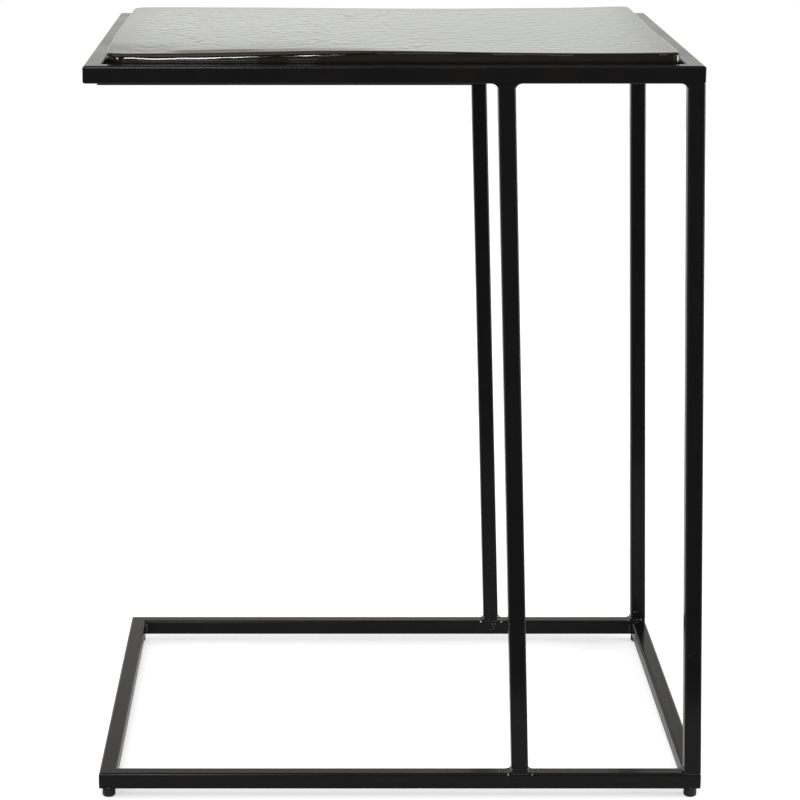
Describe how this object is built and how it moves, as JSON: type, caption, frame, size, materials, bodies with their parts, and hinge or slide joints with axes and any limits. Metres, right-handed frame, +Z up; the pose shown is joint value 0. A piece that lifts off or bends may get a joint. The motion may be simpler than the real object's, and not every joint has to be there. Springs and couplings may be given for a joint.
{
  "type": "c-shaped side table",
  "caption": "C-shaped side table: welded square-tube steel frame, open at one end, with a thick smoked cast-glass top lying in its upper ring and screw-in levelling feet.",
  "frame": {"origin": "on the floor, under the middle of the base ring", "axes": "+Z up, +X from the open side of the C to the uprights, +Y from the front to the back"},
  "size_m": [0.487, 0.383, 0.6013],
  "materials": {
    "frame_black": "satin black powder coat",
    "smoked_glass": "dark smoked cast glass, fire-polished, softly rippled",
    "clear_bumper": "soft clear bumper",
    "foot_nylon": "black moulded nylon",
    "zinc_steel": "bright zinc plated"
  },
  "bodies": {
    "frame": {"top_front_rail": "frame_black", "top_right_rail": "frame_black", "top_back_rail": "frame_black", "top_left_rail": "frame_black", "base_front_rail": "frame_black", "base_right_rail": "frame_black", "base_back_rail": "frame_black", "base_left_rail": "frame_black", "front_middle_upright": "frame_black", "back_middle_upright": "frame_black", "front_end_upright": "frame_black", "back_end_upright": "frame_black", "top_ring_welds": "frame_black", "base_ring_welds": "frame_black", "panel_tack_welds": "frame_black", "support_panel": "frame_black", "glass_bumpers": "clear_bumper", "foot_inserts": "zinc_steel"},
    "glass": {"cast_glass_top": "smoked_glass"},
    "front_left_foot": {"front_left_foot_glide": "foot_nylon", "front_left_foot_stud": "zinc_steel"},
    "front_right_foot": {"front_right_foot_glide": "foot_nylon", "front_right_foot_stud": "zinc_steel"},
    "back_right_foot": {"back_right_foot_glide": "foot_nylon", "back_right_foot_stud": "zinc_steel"},
    "back_left_foot": {"back_left_foot_glide": "foot_nylon", "back_left_foot_stud": "zinc_steel"}
  },
  "joints": [
    {"name": "glass_lift", "type": "slide", "parent": "frame", "child": "glass", "axis": [0, 0, 1], "range_m": [0, 0.06]},
    {"name": "front_left_foot_screw", "type": "slide", "parent": "frame", "child": "front_left_foot", "axis": [0, 0, -1], "range_m": [0, 0.005]},
    {"name": "front_right_foot_screw", "type": "slide", "parent": "frame", "child": "front_right_foot", "axis": [0, 0, -1], "range_m": [0, 0.005]},
    {"name": "back_right_foot_screw", "type": "slide", "parent": "frame", "child": "back_right_foot", "axis": [0, 0, -1], "range_m": [0, 0.005]},
    {"name": "back_left_foot_screw", "type": "slide", "parent": "frame", "child": "back_left_foot", "axis": [0, 0, -1], "range_m": [0, 0.005]}
  ]
}
